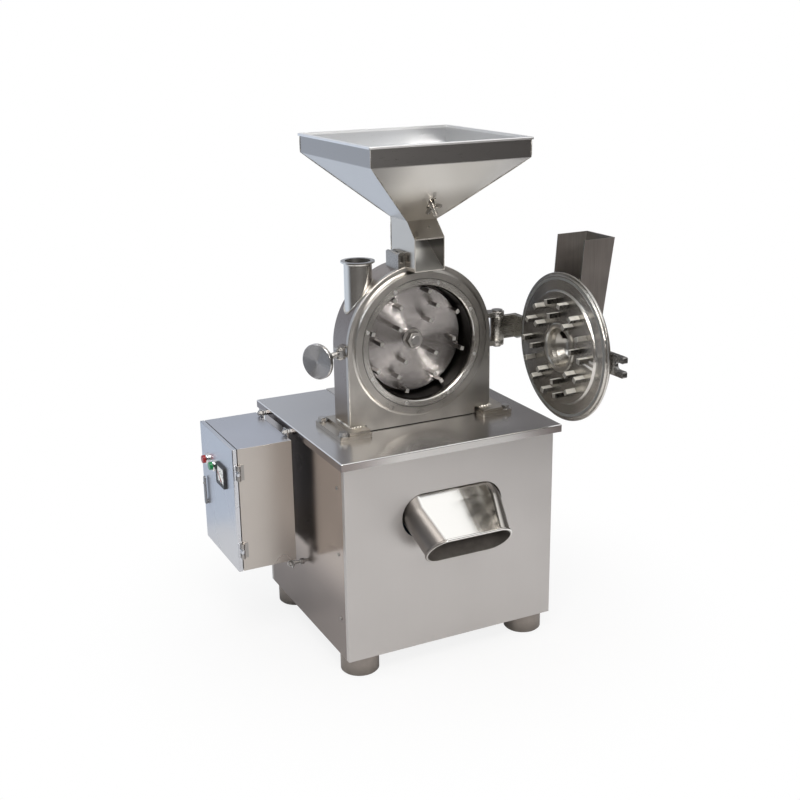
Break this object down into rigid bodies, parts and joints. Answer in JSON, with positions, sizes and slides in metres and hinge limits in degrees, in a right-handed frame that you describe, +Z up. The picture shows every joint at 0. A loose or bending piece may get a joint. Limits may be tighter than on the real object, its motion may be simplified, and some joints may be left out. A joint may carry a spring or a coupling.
{
  "type": "grain grinder",
  "caption": "Stainless pin mill for grain on a floor cabinet, with feed hopper, hinged pin door, swing-bolt latch, discharge spout and side control box.",
  "frame": {"origin": "point on the floor under the middle of the cabinet", "axes": "+Z up; the mill's open face and the spout look towards -Y; +X is to the right seen from the front, the control box is on the -X side"},
  "size_m": [0.8684, 0.8124, 1.277],
  "materials": {
    "brushed_stainless": "brushed",
    "panel_stainless": "brushed",
    "polished_stainless": "polished",
    "turned_stainless": "turned",
    "foot_steel": "satin",
    "frame_steel": "mill finish",
    "zinc_steel": "zinc plated",
    "machinery_paint": "semi-gloss",
    "grey_iron": "machined",
    "black_rubber": "matte",
    "grey_rubber": "matte",
    "black_plastic": "matte",
    "grey_plastic": "matte",
    "red_plastic": "gloss",
    "green_plastic": "gloss",
    "bright_collar": "polished"
  },
  "bodies": {
    "base": {"anchor_bolts": "turned_stainless", "back_plate": "zinc_steel", "bearing_housing": "grey_iron", "bearings": "zinc_steel", "belt_guard": "brushed_stainless", "box_brackets": "brushed_stainless", "box_hinges": "zinc_steel", "cabinet_frame": "frame_steel", "cable_gland": "black_plastic", "clamping_ring": "turned_stainless", "control_box": "panel_stainless", "discharge_chute": "brushed_stainless", "discharge_spout": "polished_stainless", "duct_brackets": "brushed_stainless", "face_plate": "brushed_stainless", "feed_duct": "brushed_stainless", "feet": "foot_steel", "front_panel": "panel_stainless", "hopper": "brushed_stainless", "mill_feet": "brushed_stainless", "mill_shell": "brushed_stainless", "motor_fan_cover": "machinery_paint", "motor_frame": "machinery_paint", "pivot_pins": "turned_stainless", "rear_panel": "panel_stainless", "rubber_seals": "black_rubber", "screen_ring": "turned_stainless", "shell_lugs": "brushed_stainless", "shell_rear_wall": "brushed_stainless", "side_panels": "panel_stainless", "switchgear": "grey_plastic", "top_plate": "panel_stainless", "v_belts": "black_rubber", "vent_pipe": "brushed_stainless"},
    "pin_door": {"door_disc": "turned_stainless", "door_gasket": "grey_rubber", "door_pins": "turned_stainless", "inlet_bowl": "polished_stainless", "feed_chute": "brushed_stainless", "latch_fork": "brushed_stainless", "hinge_arm": "brushed_stainless"},
    "rotor": {"main_shaft": "turned_stainless", "rotor_disc": "turned_stainless", "rotor_pins": "turned_stainless", "rotor_nut": "polished_stainless", "mill_pulley": "grey_iron"},
    "motor_rotor": {"motor_shaft": "turned_stainless", "motor_pulley": "grey_iron"},
    "swing_bolt": {"swing_bolt": "turned_stainless"},
    "clamp_washer": {"clamp_washer": "turned_stainless"},
    "hand_knob": {"hand_knob": "turned_stainless"},
    "feed_gate": {"feed_gate": "brushed_stainless"},
    "wing_nut": {"wing_nut": "polished_stainless"},
    "box_door": {"box_door": "panel_stainless", "meter_case": "black_plastic", "button_bodies": "bright_collar"},
    "meter_needle": {"meter_needle": "black_plastic"},
    "stop_button": {"stop_button": "red_plastic"},
    "start_button": {"start_button": "green_plastic"},
    "lock_handle": {"lock_handle": "zinc_steel"}
  },
  "joints": [
    {"name": "door_hinge", "type": "hinge", "parent": "base", "child": "pin_door", "pos_m": [0.2326, -0.0747, 0.782], "axis": [0, 0, 1], "range_deg": [-91.5, 65]},
    {"name": "rotor_spin", "type": "hinge", "parent": "base", "child": "rotor", "pos_m": [0, -0.05, 0.778], "axis": [0, 1, 0], "continuous": true},
    {"name": "motor_spin", "type": "hinge", "parent": "base", "child": "motor_rotor", "pos_m": [0, 0.1, 0.25], "axis": [0, 1, 0], "continuous": true},
    {"name": "bolt_swing", "type": "hinge", "parent": "base", "child": "swing_bolt", "pos_m": [-0.213, -0.092, 0.778], "axis": [0, 0, 1], "range_deg": [-33, 60]},
    {"name": "washer_travel", "type": "slide", "parent": "swing_bolt", "child": "clamp_washer", "axis": [-0.866, -0.5, 0], "range_m": [-0.007, 0.004]},
    {"name": "knob_turn", "type": "hinge", "parent": "clamp_washer", "child": "hand_knob", "pos_m": [-0.27362, -0.127, 0.778], "axis": [-0.866, -0.5, 0], "range_deg": [-1260, 720]},
    {"name": "gate_slide", "type": "slide", "parent": "base", "child": "feed_gate", "axis": [0, -0.7295, 0.684], "range_m": [-0.016, 0.016]},
    {"name": "wing_turn", "type": "hinge", "parent": "feed_gate", "child": "wing_nut", "pos_m": [0, -0.17234, 1.11529], "axis": [0, -0.684, -0.7295], "range_deg": [-180, 180]},
    {"name": "box_door_hinge", "type": "hinge", "parent": "base", "child": "box_door", "pos_m": [-0.45845, -0.0181, 0.388], "axis": [0, 0, 1], "range_deg": [0, 110]},
    {"name": "needle_swing", "type": "hinge", "parent": "box_door", "child": "meter_needle", "pos_m": [-0.474, 0.079, 0.439], "axis": [1, 0, 0], "range_deg": [0, 100], "stiffness_Nm_per_rad": 0.0005, "springref_deg": -34.38},
    {"name": "stop_press", "type": "slide", "parent": "box_door", "child": "stop_button", "axis": [1, 0, 0], "range_m": [0, 0.004], "stiffness_N_per_m": 500, "springref_m": -0.002},
    {"name": "start_press", "type": "slide", "parent": "box_door", "child": "start_button", "axis": [1, 0, 0], "range_m": [0, 0.004], "stiffness_N_per_m": 500, "springref_m": -0.002},
    {"name": "lock_turn", "type": "hinge", "parent": "box_door", "child": "lock_handle", "pos_m": [-0.476, 0.214, 0.337], "axis": [1, 0, 0], "range_deg": [0, 90]}
  ],
  "couplings": [
    {"joint": "motor_spin", "follows": "rotor_spin", "ratio": 0.62585},
    {"joint": "washer_travel", "follows": "knob_turn", "m_per_rad": 0.00031831}
  ]
}
